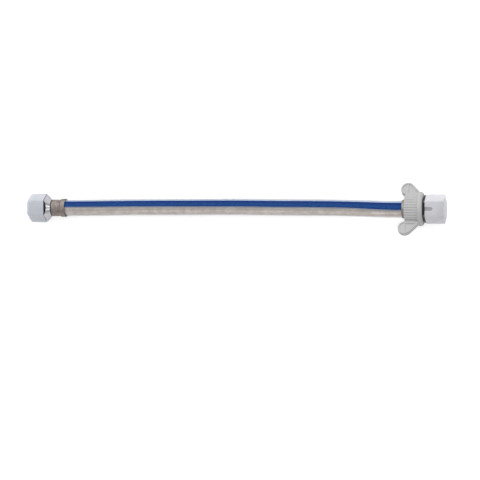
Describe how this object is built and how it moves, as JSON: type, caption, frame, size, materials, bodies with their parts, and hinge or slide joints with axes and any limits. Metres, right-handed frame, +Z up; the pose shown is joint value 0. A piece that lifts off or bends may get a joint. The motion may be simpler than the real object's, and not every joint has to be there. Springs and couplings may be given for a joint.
{
  "type": "flexible water supply hose",
  "caption": "Braided flexible water supply hose with a clear cover and a blue stripe, a plain union nut at one end, a winged union nut at the other, and a protective cap over each nut.",
  "frame": {"origin": "on the table that the hose rests on, midway between the ends of the two caps and under the axis of the winged end", "axes": "+X along the hose from the plain end to the winged end, +Y to the side, +Z up"},
  "size_m": [0.4262, 0.0522, 0.034],
  "materials": {
    "inner_tube": "matt rubber hose liner",
    "braid_wire": "fine bright braided wire",
    "blue_tape": "blue strip laid between braid and cover",
    "clear_cover": "clear soft plastic cover",
    "gasket_rubber": "matt black sealing rubber",
    "tail_brass": "turned brass",
    "ferrule_steel": "pressed and crimped steel sleeve",
    "chrome_plate": "bright plated brass",
    "grey_plastic": "moulded light grey plastic",
    "cap_plastic": "thin milky translucent plastic"
  },
  "bodies": {
    "hose": {"inner_tube": "inner_tube", "wire_braid": "braid_wire", "blue_stripe": "blue_tape", "clear_cover": "clear_cover", "plain_end_gasket": "gasket_rubber", "plain_end_tail": "tail_brass", "plain_end_ferrule": "ferrule_steel", "wing_end_gasket": "gasket_rubber", "wing_end_tail": "tail_brass", "wing_end_ferrule": "ferrule_steel"},
    "plain_nut": {"plain_nut": "chrome_plate"},
    "plain_cap": {"plain_cap": "cap_plastic"},
    "winged_nut": {"wing_nut": "chrome_plate", "wing_grip": "grey_plastic"},
    "wing_cap": {"wing_cap": "cap_plastic"}
  },
  "joints": [
    {"name": "plain_nut_swivel", "type": "hinge", "parent": "hose", "child": "plain_nut", "pos_m": [-0.2019, 0.0023, 0.01295], "axis": [-1, 0, 0], "continuous": true},
    {"name": "plain_cap_pull", "type": "slide", "parent": "plain_nut", "child": "plain_cap", "axis": [-1, 0, 0], "range_m": [0, 0.03]},
    {"name": "winged_nut_swivel", "type": "hinge", "parent": "hose", "child": "winged_nut", "pos_m": [0.1981, 0, 0.017], "axis": [1, 0, 0], "continuous": true},
    {"name": "wing_cap_pull", "type": "slide", "parent": "winged_nut", "child": "wing_cap", "axis": [1, 0, 0], "range_m": [0, 0.03]}
  ]
}
